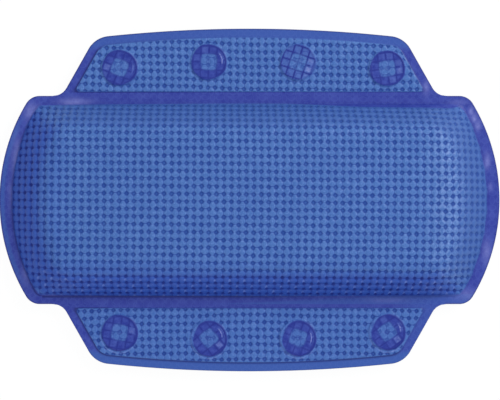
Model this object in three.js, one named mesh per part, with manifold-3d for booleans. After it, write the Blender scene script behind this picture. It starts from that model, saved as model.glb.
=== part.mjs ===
// A bath pillow: two welded vinyl films round a foam core, with a flap along each long side
// and a row of suction cups on each flap. It lies on its back, front face up.
// X runs along the pillow, Y across it towards the upper flap and Z out of its front face.
// The origin is on the surface it lies on, below the middle of the pillow. Millimetres.
import * as THREE from "three";
import { mergeVertices } from "three/addons/utils/BufferGeometryUtils.js";
import Module from "manifold-3d";

const wasm = await Module();
wasm.setup();

// Films and foam
const frontFilm = 0.6;
const backFilm = 0.5;
const foamClearance = 0.3;
const foamEdgeInset = 3.2;
const cutOverrun = 1;

// Outline of the welded sheet
const pillowHalfLength = 160;
const sideRadius = 120;
const earHalfWidth = 66.6;
const earRadius = 10;
const flapShoulder = 40;
const flapRootRadius = 10;
const flapCrownRadius = 860;
const flapCornerRadius = 16;
const flapSlope = THREE.MathUtils.degToRad(29.5);

// Cushion pocket inside the welded border
const sideBorder = 5;
const endBorder = 8;
const pocketRadiusExcess = 2;
const pocketCornerRadius = 6;

// Form of the filled cushion above and below the sheet
const frontRise = 25;
const frontSideReach = 26;
const frontEndReach = 29;
const backSideReach = 15;
const backEndReach = 18;
const sideSteepnessShare = 2.5;
const endSteepnessShare = 1.7;
const backSteepnessShare = 2.2;
const lengthCrownShare = 0.16;
const widthCrownShare = 0.06;
const cushionColumns = 24;
const cushionRows = 14;

// Fold line, where a flap bends on the sheet as on a living hinge
const foldDistance = 1.2;
const foldGap = 0.3;
const foldBevel = THREE.MathUtils.degToRad(35);

// Embossed panel on each flap
const panelRootDistance = 1.5;
const panelBorder = 6;
const panelRelief = 0.3;
const panelRootRadius = 2;

// Suction cups
const cupPitchShare = 0.475;
const cupsPerFlap = 4;
const cupRowShift = 2.5;
const cupRootClearance = 3.3;
const cupEdgeClearance = 8;
const cupHeight = 7.5;
const cupRimRadius = 13;
const cupLipWidth = 0.8;
const cupLipThickness = 0.5;
const cupHollow = 3.9;
const cupNeckRadius = 4.75;
const cupNeckLength = 1.1;
const cupFlangeSetback = 1.75;
const cupFlangeThickness = 0.7;
const cupClearance = 0.15;
const cupSideClearance = 0.3;
const waffleRibWidth = 0.7;
const waffleRibHeight = 0.4;
const wafflePitch = 5.1;
const waffleRibsEachWay = 5;
const upperCupTurns = [-17, -2, -18, 8];
const lowerCupTurns = [-10, 39, -20, 35];
const blisterSlope = 0.6;

const arcSteps = 9;
const cupSteps = 20;
const bellSteps = 3;

// The films meet on this plane, which the cups hold above the surface that the pillow lies on.
const sheetPlane = cupHeight + backFilm;
const backRise = cupHeight;

// The cushion pocket lies inside the sheet's edge, and the fold and the panel outside its ears.
const pocketHalfLength = pillowHalfLength - endBorder;
const pocketHalfWidth = earHalfWidth - sideBorder;
const pocketEndRadius = sideRadius + pocketRadiusExcess;
const foldHalfWidth = earHalfWidth + foldDistance;
const panelRootHalfWidth = foldHalfWidth + panelRootDistance;

// A flap is as wide as its row of cups needs, with the outermost cup nearest to the fold.
const flapRootHalfLength = pillowHalfLength - flapShoulder;
const cupFlangeRadius = cupRimRadius - cupFlangeSetback;
const cupPitch = flapRootHalfLength * cupPitchShare;
const cupRowHalfLength = ((cupsPerFlap - 1) / 2) * cupPitch + cupRowShift;
const cupRowHalfWidth = foldHalfWidth + cupRootClearance + cupRimRadius;
const cupEdgeDistance = cupRimRadius + cupEdgeClearance;
const flapHalfWidth = cupRowHalfWidth + crownDropAt(cupRowHalfLength) + cupEdgeDistance;

const vinylBlue = 0x4968ae;
const weldBlue = 0x3f4fa6;
const cupBlue = 0x8fa6d8;
const foamCream = 0xe9e2cf;

// Solids and meshes

function solidOf(geometry) {
  const bare = geometry.clone();
  bare.deleteAttribute("normal");
  bare.deleteAttribute("uv");
  const merged = mergeVertices(bare);
  return new wasm.Manifold(
    new wasm.Mesh({
      numProp: 3,
      vertProperties: merged.attributes.position.array,
      triVerts: new Uint32Array(merged.index.array),
    }),
  );
}

function meshOf(name, solid, material) {
  const cut = solid.getMesh();
  const geometry = new THREE.BufferGeometry();
  geometry.setAttribute("position", new THREE.BufferAttribute(cut.vertProperties, cut.numProp));
  geometry.setIndex(new THREE.BufferAttribute(cut.triVerts, 1));
  geometry.computeVertexNormals();
  const mesh = new THREE.Mesh(geometry, material);
  mesh.name = name;
  return mesh;
}

function vinyl(color) {
  return new THREE.MeshStandardMaterial({ color, roughness: 0.3, metalness: 0 });
}

function foam() {
  return new THREE.MeshStandardMaterial({ color: foamCream, roughness: 0.95, metalness: 0 });
}

// A flat layer of the given outline, from one height up to another.
function layer(shape, bottom, top) {
  const geometry = new THREE.ExtrudeGeometry(shape, {
    depth: top - bottom,
    bevelEnabled: false,
    curveSegments: arcSteps,
  });
  return solidOf(geometry.translate(0, 0, bottom));
}

// A bar along X with the given section, whose points are [y, z].
function barAlongX(section, halfLength) {
  const shape = new THREE.Shape(section.map(([y, z]) => new THREE.Vector2(y, z)));
  const geometry = new THREE.ExtrudeGeometry(shape, { depth: 2 * halfLength, bevelEnabled: false });
  geometry.translate(0, 0, -halfLength);
  const alongX = new THREE.Matrix4().set(0, 0, 1, 0, 1, 0, 0, 0, 0, 1, 0, 0, 0, 0, 0, 1);
  return solidOf(geometry.applyMatrix4(alongX));
}

// A turned piece about Z, whose profile points are [radius, height] from the axis and back to it.
function turned(profile) {
  const points = profile.map(([radius, height]) => new THREE.Vector2(radius, height));
  const geometry = new THREE.LatheGeometry(points, cupSteps);
  return solidOf(geometry.rotateX(Math.PI / 2));
}

// Outlines of the sheet

// How far the crowned outer edge of a flap has fallen back at a distance x from the middle.
function crownDropAt(x) {
  return flapCrownRadius - Math.sqrt(flapCrownRadius ** 2 - x ** 2);
}

// The straight slanted side of a flap, moved in by a border: a point on it and its outward normal.
function flapSide(border) {
  const normal = new THREE.Vector2(Math.cos(flapSlope), Math.sin(flapSlope));
  const point = new THREE.Vector2(flapRootHalfLength, earHalfWidth).addScaledVector(normal, -border);
  return { point, normal };
}

// Centre of the round corner between a flap's slanted side and its crowned outer edge.
function flapCornerCentre(border) {
  const { point, normal } = flapSide(border);
  const radius = flapCornerRadius - border;
  const start = point.clone().addScaledVector(normal, -radius);
  const along = new THREE.Vector2(-normal.y, normal.x);
  const crownCentre = new THREE.Vector2(0, flapHalfWidth - flapCrownRadius);
  const offset = start.clone().sub(crownCentre);
  const reach = flapCrownRadius - flapCornerRadius;
  const middle = offset.dot(along);
  const travel = Math.sqrt(middle ** 2 - offset.lengthSq() + reach ** 2) - middle;
  return start.addScaledVector(along, travel);
}

// Adds the outer end of a flap to an outline: right corner, crowned edge and left corner.
function addFlapEnd(path, border) {
  const corner = flapCornerCentre(border);
  const radius = flapCornerRadius - border;
  const crownCentre = flapHalfWidth - flapCrownRadius;
  const crownAngle = Math.atan2(corner.y - crownCentre, corner.x);
  const crownRadius = flapCrownRadius - border;
  path.absarc(corner.x, corner.y, radius, flapSlope, crownAngle, false);
  path.absarc(0, crownCentre, crownRadius, crownAngle, Math.PI - crownAngle, false);
  path.absarc(-corner.x, corner.y, radius, Math.PI - crownAngle, Math.PI - flapSlope, false);
}

// The whole flap with its root fillets, down to the line through the ears.
function flapShape() {
  const { normal } = flapSide(0);
  const filletX = flapRootHalfLength + (flapRootRadius * (1 - normal.y)) / normal.x;
  const filletY = earHalfWidth + flapRootRadius;
  const path = new THREE.Shape();
  path.moveTo(filletX, earHalfWidth);
  path.absarc(filletX, filletY, flapRootRadius, -Math.PI / 2, flapSlope - Math.PI, true);
  addFlapEnd(path, 0);
  path.absarc(-filletX, filletY, flapRootRadius, -flapSlope, -Math.PI / 2, true);
  path.closePath();
  return path;
}

// The sheet between the two flaps: bulged ends, round ears and straight ear edges.
function cushionSheetShape() {
  const sideCentre = pillowHalfLength - sideRadius;
  const earY = earHalfWidth - earRadius;
  const earX = sideCentre + Math.sqrt((sideRadius - earRadius) ** 2 - earY ** 2);
  const earAngle = Math.atan2(earY, earX - sideCentre);
  const path = new THREE.Shape();
  path.absarc(sideCentre, 0, sideRadius, -earAngle, earAngle, false);
  path.absarc(earX, earY, earRadius, earAngle, Math.PI / 2, false);
  path.absarc(-earX, earY, earRadius, Math.PI / 2, Math.PI - earAngle, false);
  path.absarc(-sideCentre, 0, sideRadius, Math.PI - earAngle, Math.PI + earAngle, false);
  path.absarc(-earX, -earY, earRadius, Math.PI + earAngle, (3 * Math.PI) / 2, false);
  path.absarc(earX, -earY, earRadius, -Math.PI / 2, -earAngle, false);
  return path;
}

// The embossed panel of a flap, a border's width inside the flap's edge.
function panelShape() {
  const { point, normal } = flapSide(panelBorder);
  const rootX = point.x - ((panelRootHalfWidth - point.y) * normal.y) / normal.x;
  const cornerTurn = Math.tan((Math.PI / 2 - flapSlope) / 2);
  const flat = panelRootRadius / cornerTurn;
  const cornerX = rootX - flat;
  const cornerY = panelRootHalfWidth + panelRootRadius;
  const path = new THREE.Shape();
  path.moveTo(-cornerX, panelRootHalfWidth);
  path.absarc(cornerX, cornerY, panelRootRadius, -Math.PI / 2, flapSlope, false);
  addFlapEnd(path, panelBorder);
  path.absarc(-cornerX, cornerY, panelRootRadius, Math.PI - flapSlope, (3 * Math.PI) / 2, false);
  return path;
}

// Fold line

// How far the bevelled edge of a film runs back from the fold over the given height.
function bevelRun(height) {
  return height / Math.tan(foldBevel);
}

// The room that the sheet between the flaps has: its two long edges are bevelled to a nose.
function cushionSide() {
  const nose = foldHalfWidth - foldGap / 2;
  const over = frontFilm + cutOverrun;
  const shoulder = nose - bevelRun(over);
  const section = [
    [nose, sheetPlane],
    [shoulder, sheetPlane + over],
    [-shoulder, sheetPlane + over],
    [-nose, sheetPlane],
    [-shoulder, sheetPlane - over],
    [shoulder, sheetPlane - over],
  ];
  return barAlongX(section, pillowHalfLength + cutOverrun);
}

// The room that a flap has beyond the fold line, with the same nose facing the other way.
function flapSideOfFold() {
  const nose = foldHalfWidth + foldGap / 2;
  const over = frontFilm + cutOverrun;
  const shoulder = nose + bevelRun(over);
  const outer = flapHalfWidth + cutOverrun;
  const section = [
    [nose, sheetPlane],
    [shoulder, sheetPlane - over],
    [outer, sheetPlane - over],
    [outer, sheetPlane + over],
    [shoulder, sheetPlane + over],
  ];
  return barAlongX(section, pillowHalfLength + cutOverrun);
}

// A film of the sheet before the cushion is formed in it: the middle with a root strip of each flap.
function cushionSheet(bottom, top) {
  const middle = layer(cushionSheetShape(), bottom, top);
  const upperRoot = layer(flapShape(), bottom, top);
  const lowerRoot = upperRoot.rotate([0, 0, 180]);
  return middle.add(upperRoot).add(lowerRoot).intersect(cushionSide());
}

function flapSheet(bottom, top) {
  return layer(flapShape(), bottom, top).intersect(flapSideOfFold());
}

// Cushion form

// Half the pocket's length at a distance y from its middle line, with round corners, for a
// pocket drawn in by an inset all round.
function pocketHalfLengthAt(y, inset) {
  const radius = pocketEndRadius - inset;
  const centre = pocketHalfLength - pocketEndRadius;
  const cornerY = pocketHalfWidth - pocketCornerRadius;
  const reach = pocketEndRadius - pocketCornerRadius;
  const cornerX = centre + Math.sqrt(reach ** 2 - cornerY ** 2);
  const away = Math.abs(y);
  const cornerStart = (radius * cornerY) / reach;
  if (away < cornerStart) return centre + Math.sqrt(radius ** 2 - away ** 2);
  const cornerRadius = pocketCornerRadius - inset;
  return cornerX + Math.sqrt(Math.max(cornerRadius ** 2 - (away - cornerY) ** 2, 0));
}

// A share that climbs from 0 at the seam to 1 at the given reach, steepest at the seam.
function climb(distance, reach, steepness) {
  return 1 - Math.max(1 - Math.max(distance, 0) / reach, 0) ** steepness;
}

function frontRiseAt(x, y, inset) {
  const toSide = pocketHalfWidth - inset - Math.abs(y);
  const toEnd = pocketHalfLengthAt(y, inset) - Math.abs(x);
  const crown =
    1 - lengthCrownShare * (x / pocketHalfLength) ** 2 - widthCrownShare * (y / pocketHalfWidth) ** 2;
  const side = climb(toSide, frontSideReach, sideSteepnessShare);
  const end = climb(toEnd, frontEndReach, endSteepnessShare);
  return frontRise * crown * side * end;
}

function backRiseAt(x, y, inset) {
  const toSide = pocketHalfWidth - inset - Math.abs(y);
  const toEnd = pocketHalfLengthAt(y, inset) - Math.abs(x);
  const side = climb(toSide, backSideReach, backSteepnessShare);
  const end = climb(toEnd, backEndReach, backSteepnessShare);
  return backRise * side * end;
}

// A closed grid over the pocket, drawn in by an inset, between two height functions of x and y.
// Its lines lie closer together towards the seams, where the form bends most.
function pocketSolid(inset, topAt, bottomAt) {
  const spread = (index, count) => Math.sin((index / count - 0.5) * Math.PI);
  const perRow = cushionColumns + 1;
  const perSurface = perRow * (cushionRows + 1);
  const positions = [];
  for (const heightAt of [bottomAt, topAt])
    for (let row = 0; row <= cushionRows; row++)
      for (let column = 0; column <= cushionColumns; column++) {
        const y = spread(row, cushionRows) * (pocketHalfWidth - inset);
        const x = spread(column, cushionColumns) * pocketHalfLengthAt(y, inset);
        positions.push(x, y, heightAt(x, y));
      }
  const indices = [];
  const addQuad = (a, b, c, d) => indices.push(a, b, c, a, c, d);
  for (let row = 0; row < cushionRows; row++)
    for (let column = 0; column < cushionColumns; column++) {
      const low = row * perRow + column;
      const high = low + perSurface;
      addQuad(low, low + perRow, low + perRow + 1, low + 1);
      addQuad(high, high + 1, high + perRow + 1, high + perRow);
    }
  const addWall = (from, to) => addQuad(from, to, to + perSurface, from + perSurface);
  const lastRow = cushionRows * perRow;
  for (let column = 0; column < cushionColumns; column++) {
    addWall(column, column + 1);
    addWall(lastRow + column + 1, lastRow + column);
  }
  for (let row = 0; row < cushionRows; row++) {
    const first = row * perRow;
    addWall(first + perRow, first);
    addWall(first + cushionColumns, first + perRow + cushionColumns);
  }
  const geometry = new THREE.BufferGeometry();
  geometry.setAttribute("position", new THREE.Float32BufferAttribute(positions, 3));
  geometry.setIndex(indices);
  return solidOf(geometry);
}

function cushionFrontCover() {
  const top = sheetPlane + frontFilm;
  const outer = pocketSolid(
    0,
    (x, y) => top + frontRiseAt(x, y, 0),
    () => top - frontFilm / 2,
  );
  const inner = pocketSolid(
    frontFilm,
    (x, y) => sheetPlane + frontRiseAt(x, y, frontFilm),
    () => sheetPlane - cutOverrun,
  );
  return cushionSheet(sheetPlane, top).add(outer).subtract(inner);
}

function cushionBackCover() {
  const bottom = sheetPlane - backFilm;
  const outer = pocketSolid(
    0,
    () => bottom + backFilm / 2,
    (x, y) => bottom - backRiseAt(x, y, 0),
  );
  const inner = pocketSolid(
    backFilm,
    () => sheetPlane + cutOverrun,
    (x, y) => sheetPlane - backRiseAt(x, y, backFilm),
  );
  return cushionSheet(bottom, sheetPlane).add(outer).subtract(inner);
}

// The foam fills the pocket to a small clearance, and its block edge stops short of the seams.
function foamCore() {
  const clear = frontFilm + foamClearance;
  const high = sheetPlane + frontRise;
  const underFront = pocketSolid(
    clear,
    (x, y) => sheetPlane + frontRiseAt(x, y, clear) - foamClearance,
    () => 0,
  );
  const overBack = pocketSolid(
    clear,
    () => high,
    (x, y) => sheetPlane - backRiseAt(x, y, clear) + foamClearance,
  );
  const block = pocketSolid(
    foamEdgeInset,
    () => high,
    () => 0,
  );
  return underFront.intersect(overBack).intersect(block);
}

// Flap films and cups

// Where the cups of a flap stand: along the flap, at one distance from its crowned outer edge.
function cupPlaces(rowShift) {
  const places = [];
  for (let index = 0; index < cupsPerFlap; index++) {
    const x = (index - (cupsPerFlap - 1) / 2) * cupPitch + rowShift;
    places.push([x, flapHalfWidth - crownDropAt(x) - cupEdgeDistance]);
  }
  return places;
}

const flangeBottom = sheetPlane + cupClearance;
const flangeTop = flangeBottom + cupFlangeThickness;
const seatTop = flangeTop + waffleRibHeight + cupClearance;
const seatRadius = cupFlangeRadius + cupSideClearance;

// The front film of a flap: its raised panel, and a blister over the flange of each cup.
function flapFrontFilm(places) {
  const top = sheetPlane + frontFilm;
  const blisterTop = seatTop + frontFilm;
  const blisterTopRadius = seatRadius + frontFilm / 2;
  const blister = turned([
    [0, sheetPlane + frontFilm / 2],
    [blisterTopRadius + blisterSlope, sheetPlane + frontFilm / 2],
    [blisterTopRadius + blisterSlope, top],
    [blisterTopRadius, blisterTop],
    [0, blisterTop],
  ]);
  const seat = turned([
    [0, sheetPlane - cutOverrun],
    [seatRadius, sheetPlane - cutOverrun],
    [seatRadius, seatTop],
    [0, seatTop],
  ]);
  let film = flapSheet(sheetPlane, top).add(layer(panelShape(), sheetPlane, top + panelRelief));
  for (const [x, y] of places) film = film.add(blister.translate([x, y, 0]));
  for (const [x, y] of places) film = film.subtract(seat.translate([x, y, 0]));
  return film;
}

// The back film of a flap, with a round hole for the neck of each cup.
function flapBackFilm(places) {
  const bottom = sheetPlane - backFilm;
  const holeRadius = cupNeckRadius + cupSideClearance;
  const hole = turned([
    [0, bottom - cutOverrun],
    [holeRadius, bottom - cutOverrun],
    [holeRadius, sheetPlane + cutOverrun],
    [0, sheetPlane + cutOverrun],
  ]);
  let film = flapSheet(bottom, sheetPlane);
  for (const [x, y] of places) film = film.subtract(hole.translate([x, y, 0]));
  return film;
}

// One moulded cup: a hollow bell with a thin lip, a neck, and a flange with crossing ribs on top.
function suctionCup() {
  const neckBottom = cupHeight - cupNeckLength;
  const hollowRadius = cupRimRadius - cupLipWidth;
  const underside = new THREE.QuadraticBezierCurve(
    new THREE.Vector2(0, cupHollow),
    new THREE.Vector2((cupNeckRadius + hollowRadius) / 2, cupHollow),
    new THREE.Vector2(hollowRadius, 0),
  );
  const flank = new THREE.QuadraticBezierCurve(
    new THREE.Vector2(cupRimRadius, cupLipThickness),
    new THREE.Vector2(cupNeckRadius + (cupRimRadius - cupNeckRadius) / 4, (neckBottom + cupHollow) / 2),
    new THREE.Vector2(cupNeckRadius, neckBottom),
  );
  const profile = [
    ...underside.getPoints(bellSteps),
    new THREE.Vector2(cupRimRadius, 0),
    ...flank.getPoints(bellSteps),
    new THREE.Vector2(cupNeckRadius, flangeBottom),
    new THREE.Vector2(cupFlangeRadius, flangeBottom),
    new THREE.Vector2(cupFlangeRadius, flangeTop),
    new THREE.Vector2(0, flangeTop),
  ];
  return turned(profile.map(({ x, y }) => [x, y])).add(waffleRibs());
}

// The crossing ribs on the flange, trimmed round, which sink a little into it to join it.
function waffleRibs() {
  const ribTop = flangeTop + waffleRibHeight;
  const ribBottom = flangeTop - cupFlangeThickness / 2;
  const middle = (ribTop + ribBottom) / 2;
  const rib = new THREE.BoxGeometry(2 * cupRimRadius, waffleRibWidth, ribTop - ribBottom);
  const alongX = solidOf(rib.translate(0, 0, middle));
  const alongY = alongX.rotate([0, 0, 90]);
  const round = turned([
    [0, ribBottom],
    [cupFlangeRadius, ribBottom],
    [cupFlangeRadius, ribTop],
    [0, ribTop],
  ]);
  const ribs = [];
  for (let index = 0; index < waffleRibsEachWay; index++) {
    const offset = (index - (waffleRibsEachWay - 1) / 2) * wafflePitch;
    ribs.push(alongX.translate([0, offset, 0]), alongY.translate([offset, 0, 0]));
  }
  return wasm.Manifold.union(ribs).intersect(round);
}

// One flap with its two films and its row of cups. The lower flap is the upper one turned round,
// so its row is counted and shifted the other way there, and still shifts the same way in the pillow.
function flap(name, turn, cupTurns) {
  const group = new THREE.Group();
  const places = cupPlaces(cupRowShift * Math.cos(turn));
  const cup = suctionCup();
  group.add(meshOf(name + "_flap_front_film", flapFrontFilm(places), vinyl(vinylBlue)));
  group.add(meshOf(name + "_flap_back_film", flapBackFilm(places), vinyl(weldBlue)));
  places.forEach(([x, y], index) => {
    const fromLeft = turn === 0 ? index : places.length - 1 - index;
    const mesh = meshOf("suction_cup_" + name + "_" + (fromLeft + 1), cup, vinyl(cupBlue));
    mesh.position.set(x, y, 0);
    mesh.rotation.z = THREE.MathUtils.degToRad(cupTurns[fromLeft]);
    group.add(mesh);
  });
  group.rotation.z = turn;
  return group;
}

const bathPillow = new THREE.Group();
bathPillow.add(meshOf("cushion_front_cover", cushionFrontCover(), vinyl(vinylBlue)));
bathPillow.add(meshOf("cushion_back_cover", cushionBackCover(), vinyl(weldBlue)));
bathPillow.add(meshOf("foam_core", foamCore(), foam()));
bathPillow.add(flap("upper", 0, upperCupTurns));
bathPillow.add(flap("lower", Math.PI, lowerCupTurns));

export default bathPillow;
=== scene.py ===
import bpy
import numpy as np
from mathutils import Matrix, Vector
from mathutils.geometry import delaunay_2d_cdt


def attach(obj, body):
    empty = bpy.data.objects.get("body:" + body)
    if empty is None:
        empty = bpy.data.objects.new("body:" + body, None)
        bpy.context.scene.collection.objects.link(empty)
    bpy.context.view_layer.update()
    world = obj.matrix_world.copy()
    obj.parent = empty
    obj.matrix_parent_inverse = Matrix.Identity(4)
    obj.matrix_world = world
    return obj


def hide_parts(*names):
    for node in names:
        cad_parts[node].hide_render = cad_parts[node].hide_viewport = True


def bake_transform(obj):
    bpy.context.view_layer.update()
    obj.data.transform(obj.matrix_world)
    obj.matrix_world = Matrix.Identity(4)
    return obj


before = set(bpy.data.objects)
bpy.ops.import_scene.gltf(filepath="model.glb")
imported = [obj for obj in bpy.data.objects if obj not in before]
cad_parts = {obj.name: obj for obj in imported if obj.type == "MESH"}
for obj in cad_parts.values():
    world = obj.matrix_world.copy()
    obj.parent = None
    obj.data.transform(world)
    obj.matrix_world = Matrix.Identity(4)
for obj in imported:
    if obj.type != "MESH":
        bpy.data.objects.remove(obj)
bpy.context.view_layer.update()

# Front film over the cushion
# One sheet of soft vinyl, embossed all over with a basket weave and formed hot over the foam.
# Round the cushion it is welded flat to the back film, which leaves a smooth violet border with
# rounded ears. It ends here at the line through the ears, where the flaps' films carry on.

millimetre = 0.001
sheet_plane = 8.0
front_thickness = 0.6
ear_line = 66.6
outline_ends = {"end": 160.0, "radius": 120.0, "half_width": ear_line, "corner": 10.0}
pocket_ends = {"end": 152.0, "radius": 122.0, "half_width": 61.6, "corner": 6.0}
pocket_length = pocket_ends["end"]
pocket_width = pocket_ends["half_width"]
# Rise of the cushion, how much of it the crown loses at its ends and sides, and the climb from the
# long seams and from the end seams: how far it reaches, and how steeply it starts.
front_height = 25.0
crown_loss = (0.16, 0.06)
front_climbs = ((26.0, 2.5), (29.0, 1.7))


def half_length(y, ends, inset=0.0):
    """Half the length at a distance y from the middle line: one large arc whose top is at the end,
    and a round corner tangent to it and to the long side, all drawn in by the inset."""
    end, radius, half_width, corner = ends.values()
    centre = end - radius
    corner_y = half_width - corner
    reach = radius - corner
    corner_x = centre + np.sqrt(reach**2 - corner_y**2)
    away = np.abs(y)
    arc = centre + np.sqrt(np.maximum((radius - inset) ** 2 - away**2, 0))
    turn = corner_x + np.sqrt(np.maximum((corner - inset) ** 2 - (away - corner_y) ** 2, 0))
    return np.where(away < (radius - inset) * corner_y / reach, arc, turn)


def climb(distance, reach, steepness):
    """From 0 at the seam to 1 at the reach: one minus the share that is left, to a power."""
    return 1 - np.clip(1 - np.maximum(distance, 0) / reach, 0, 1) ** steepness


def filling(x, y, inset, climbs):
    """Share of the full rise between the seams: a climb from the long seams times one from the ends."""
    side = climb(pocket_width - inset - np.abs(y), *climbs[0])
    return side * climb(half_length(y, pocket_ends, inset) - np.abs(x), *climbs[1])


def front_rise(x, y, inset=0.0):
    """Height of the filled front above the sheet: the full rise times a slight crown both ways, and
    times the share at that place."""
    crown = 1 - crown_loss[0] * (x / pocket_length) ** 2 - crown_loss[1] * (y / pocket_width) ** 2
    return front_height * crown * filling(x, y, inset, front_climbs)


def smooth(low, high, value):
    """From 0 at low to 1 at high along a curve that starts and ends level."""
    t = np.clip((value - low) / (high - low), 0, 1)
    return t * t * (3 - 2 * t)


# The film was flat when it was embossed, and stretched as it was formed hot over the foam. So only a
# share of the length that the slopes add counts as weave: more of it on the long sides than at the
# ends. The sheet also lay in the tool turned by half a degree, and a little bowed.
weave_pitch = (4.64, 4.763)
cushion_phase = (2.2, -0.74)
stretch_shares = ((0.1, 0.2), (0.4, 0.6))
per_cell = 8
pocket_reach = (pocket_length, pocket_width)
table_marks = [np.linspace(0, reach, count) for reach, count in zip(pocket_reach, (381, 247))]
table_rise = front_rise(table_marks[0][:, None], table_marks[1][None, :])


def arc_table(axis):
    """Arc lengths of the formed surface from the middle line, added up along one axis of a table."""
    steps = np.expand_dims(np.diff(table_marks[axis]), 1 - axis)
    pieces = np.hypot(steps, np.diff(table_rise, axis=axis))
    return np.insert(np.cumsum(pieces, axis=axis), 0, 0, axis=axis)


arc_tables = (arc_table(0), arc_table(1))


def table_place(value, marks):
    """Number of the table's entry below a value's size, and the share of the way to the next one."""
    place = np.clip(np.abs(value) / marks[-1] * (len(marks) - 1), 0, len(marks) - 1.001)
    return place.astype(int), place % 1


def look_up(table, x, y):
    """Value of a table at (|x|, |y|), mixed from its four nearest entries."""
    i, a = table_place(x, table_marks[0])
    j, b = table_place(y, table_marks[1])
    low = table[i, j] * (1 - a) + table[i + 1, j] * a
    high = table[i, j + 1] * (1 - a) + table[i + 1, j + 1] * a
    return low * (1 - b) + high * b


def laid(axis, x, y):
    """Where the weave counts along an axis: the plain distance, and a share of what the slope adds to
    it, which is one share towards the left or the lower side and one towards the other."""
    place = (x, y)[axis]
    gained = look_up(arc_tables[axis], x, y) - np.minimum(np.abs(place), pocket_reach[axis])
    return place + np.sign(place) * np.where(place < 0, *stretch_shares[axis]) * gained


def weave_cells(x, y):
    """Cell coordinates of the weave: the laid distances over the pitch, less the drift of the sheet. Its
    rows are turned, its columns are bowed, most at the ends and at the lower side, and both are pulled
    a little along the upper seam, more towards its right end."""
    pulled = smooth(40.0, 58.0, y)
    bow = 0.11 + 0.0002 * x - 0.000012 * x**2 - 0.000036 * (y - 18.0) ** 2
    bow -= 0.4 * pulled * smooth(-100.0, 140.0, x)
    turn = -0.12 - 0.0019 * x - 0.45 * pulled * smooth(30.0, 130.0, x)
    counts = [(laid(axis, x, y) - cushion_phase[axis]) / weave_pitch[axis] for axis in (0, 1)]
    return counts[0] - bow, counts[1] - turn


# This power rounds the diamond of a pit. A strand is an oval, long and narrow in parts of a cell,
# that lies along the cell or stands upright in it, and the lying ones sit a little high.
diamond_power = 1.6
lying_size = (0.58, 0.41)
upright_size = (0.60, 0.38)
lying_lift = 0.04
pit_depth = 0.26
strand_height = 0.40


def weave(u, v):
    """The embossed basket weave, as shares from 0 to 1 at cell coordinates u and v. A pit lies at each
    whole number: a round diamond with a small knob in it. Between four pits stands an oval strand, a
    flattened dome that is long along u in every second cell and along v in the others."""
    du, dv = [np.abs(part - np.round(part)) ** diamond_power for part in (u, v)]
    away = (du + dv) ** (1 / diamond_power)
    pit = smooth(0.36, 0.22, away)
    knob = smooth(0.14, 0.02, away)
    across = u - np.floor(u) - 0.5
    up = v - np.floor(v) - 0.5
    lying = (across / lying_size[0]) ** 2 + ((up - lying_lift) / lying_size[1]) ** 2
    upright = (up / upright_size[0]) ** 2 + (across / upright_size[1]) ** 2
    level = (np.floor(u) + np.floor(v)) % 2 == 0
    strand = np.clip(1 - np.where(level, lying, upright), 0, 1) ** 0.6
    return pit, strand, knob


def relief(u, v):
    """Height of the weave over the plain film: strands stand up, and pits go down but for their knobs."""
    pit, strand, knob = weave(u, v)
    return strand_height * strand - pit_depth * (pit - 0.25 * knob)


def lattice_lines(axis):
    """Places between two seams where the weave's count falls on even parts of a cell."""
    reach = pocket_reach[axis]
    place = np.linspace(-reach, reach, 2 * len(table_marks[axis]) - 1)
    count = laid(axis, *((place, 0 * place) if axis == 0 else (0 * place, place)))
    pitch = weave_pitch[axis] / per_cell
    first, last = (count[[0, -1]] - cushion_phase[axis]) / pitch
    marks = cushion_phase[axis] + np.arange(np.ceil(first + 0.4), np.floor(last - 0.4) + 1) * pitch
    return np.concatenate([[-reach], np.interp(marks, count, place), [reach]])


def edge_distance(x, y):
    """Distance from the outline between the flaps: from its end arc, its round ear or its ear line."""
    end, radius, half_width, corner = outline_ends.values()
    ax, ay = np.abs(x), np.abs(y)
    centre = end - radius
    ear_y = half_width - corner
    ear_x = centre + np.sqrt((radius - corner) ** 2 - ear_y**2)
    arc = radius - np.hypot(ax - centre, ay)
    ear = corner - np.hypot(ax - ear_x, ay - ear_y)
    in_ear = (ax > ear_x) & (np.arctan2(ay - ear_y, ax - ear_x) > np.arctan2(ear_y, ear_x - centre))
    return np.where(in_ear, ear, np.where(ax > ear_x, arc, np.minimum(arc, half_width - ay)))


def rounded_edge(distance, size):
    """How far a film's edge has dropped at a distance from its outline: a quarter circle's fall."""
    left = np.clip(1 - distance / size, 0, 1)
    return size * (1 - np.sqrt(1 - left**2))


# The grid's rows run across the pillow at the weave's own spacing. Its columns do so too in the
# middle, and are drawn in towards the ends so that one lies along the seam and the last on the edge.
# Past the seam, rows lie at these distances from the ear line and columns at these shares of the way
# to the rounded edge, which has a few of its own.
straight_part = 100.0
root_end_zone = (124.5, 128.0)
to_ear = ear_line - np.array([4.4, 3.8, 3.2, 2.6, 1.95, 1.25, 0.8, 0.45, 0.2, 0.05, 0])
border_share = np.array([0.04, 0.1, 0.18, 0.28, 0.39, 0.5, 0.61, 0.72, 0.82, 0.9])
front_round = 0.45
round_steps = np.array([front_round, 0.25, 0.1, 0.0])


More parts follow.
